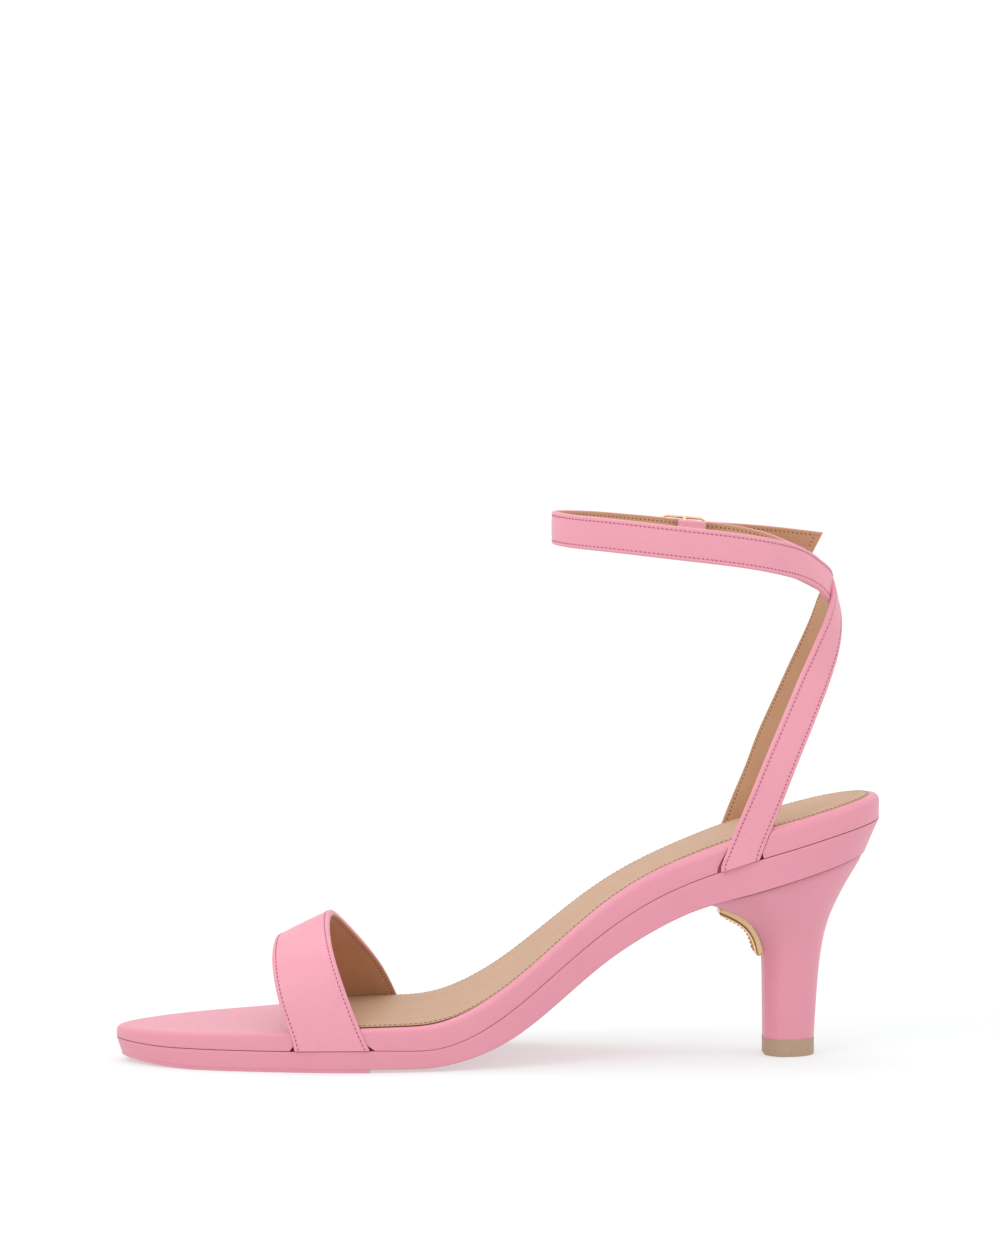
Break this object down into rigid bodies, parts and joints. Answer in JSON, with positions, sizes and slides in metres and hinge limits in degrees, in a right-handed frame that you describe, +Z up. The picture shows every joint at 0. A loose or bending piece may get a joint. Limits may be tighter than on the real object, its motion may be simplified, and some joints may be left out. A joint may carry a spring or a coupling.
{
  "type": "ankle strap heeled sandal",
  "caption": "Open-toe sandal with a wide toe band, crossed ankle straps closed by a buckle, a wrapped two-layer sole and a flared mid-height heel.",
  "frame": {"origin": "on the floor, under the middle of the shoe's box", "axes": "+X along the shoe towards the heel, +Y towards the outer side of the foot, +Z up"},
  "size_m": [0.228, 0.0794, 0.163],
  "materials": {
    "sole_pad": "matt",
    "wrap_leather": "smooth semi-matt",
    "strap_leather": "smooth semi-matt",
    "sock_leather": "natural matt",
    "tip_rubber": "matt",
    "gilt": "polished"
  },
  "bodies": {
    "root": {"outsole": "sole_pad", "platform": "wrap_leather", "footbed": "wrap_leather", "insole": "sock_leather", "vamp_strap": "strap_leather", "ankle_strap": "strap_leather", "buckle_frame": "gilt", "buckle_prong": "gilt", "heel": "wrap_leather", "heel_tip": "tip_rubber", "heel_trim": "gilt"}
  },
  "joints": []
}
